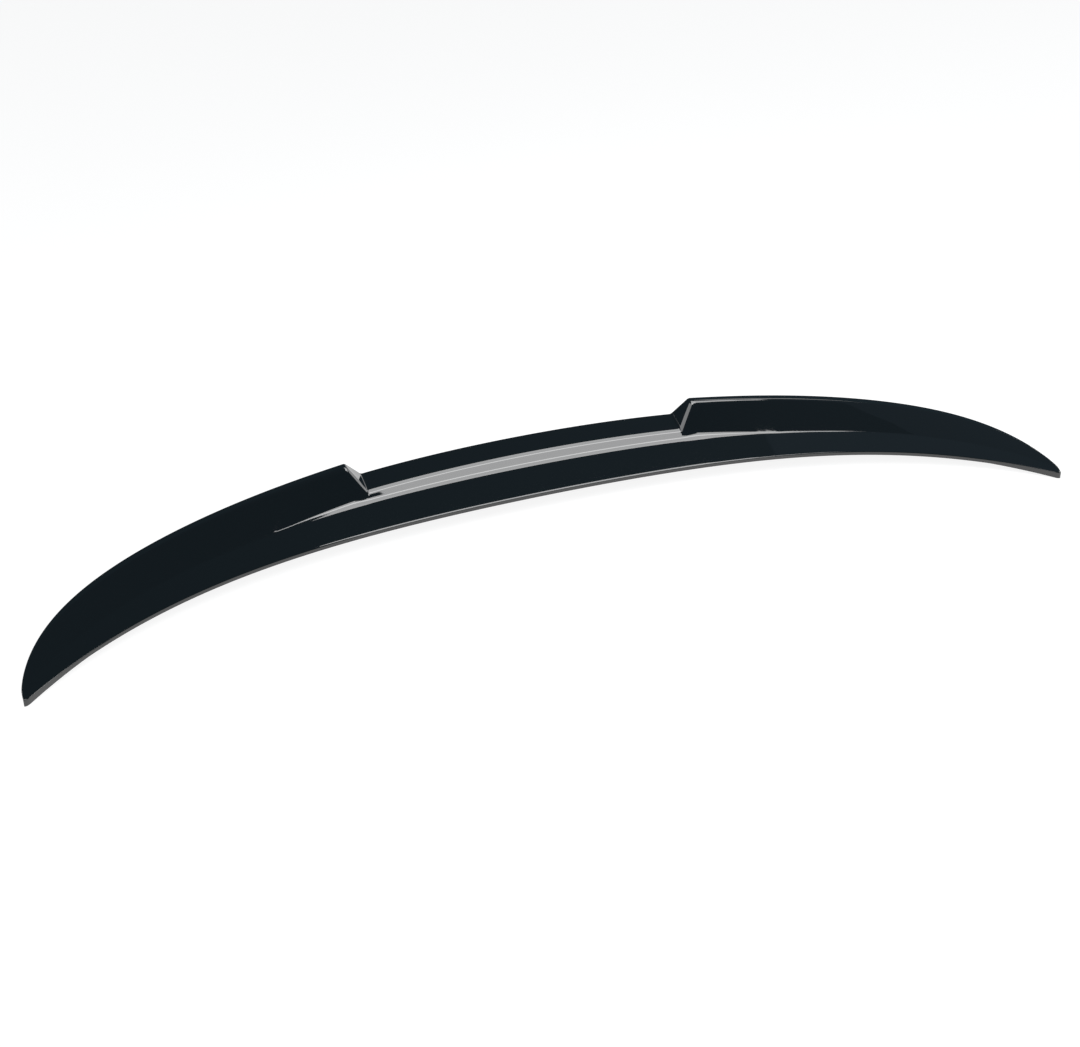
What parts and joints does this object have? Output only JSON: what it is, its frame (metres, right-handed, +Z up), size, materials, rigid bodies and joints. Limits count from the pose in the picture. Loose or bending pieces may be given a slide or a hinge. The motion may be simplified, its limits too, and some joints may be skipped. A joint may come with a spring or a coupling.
{
  "type": "car rear spoiler",
  "caption": "Stick-on boot-lid spoiler moulded in one piece, with a swept plan, raised wings, a lower stepped centre joined by short ramps, and a ribbed hollow underside.",
  "frame": {"origin": "on the ground plane under the middle of the part's outer box, where the rear foot and the two tips rest", "axes": "+X along the span, +Y towards the car's rear, +Z up"},
  "size_m": [1.177, 0.2294, 0.0673],
  "materials": {
    "gloss_black": "high gloss black, moulded and lacquered"
  },
  "bodies": {
    "root": {"spoiler": "gloss_black"}
  },
  "joints": []
}
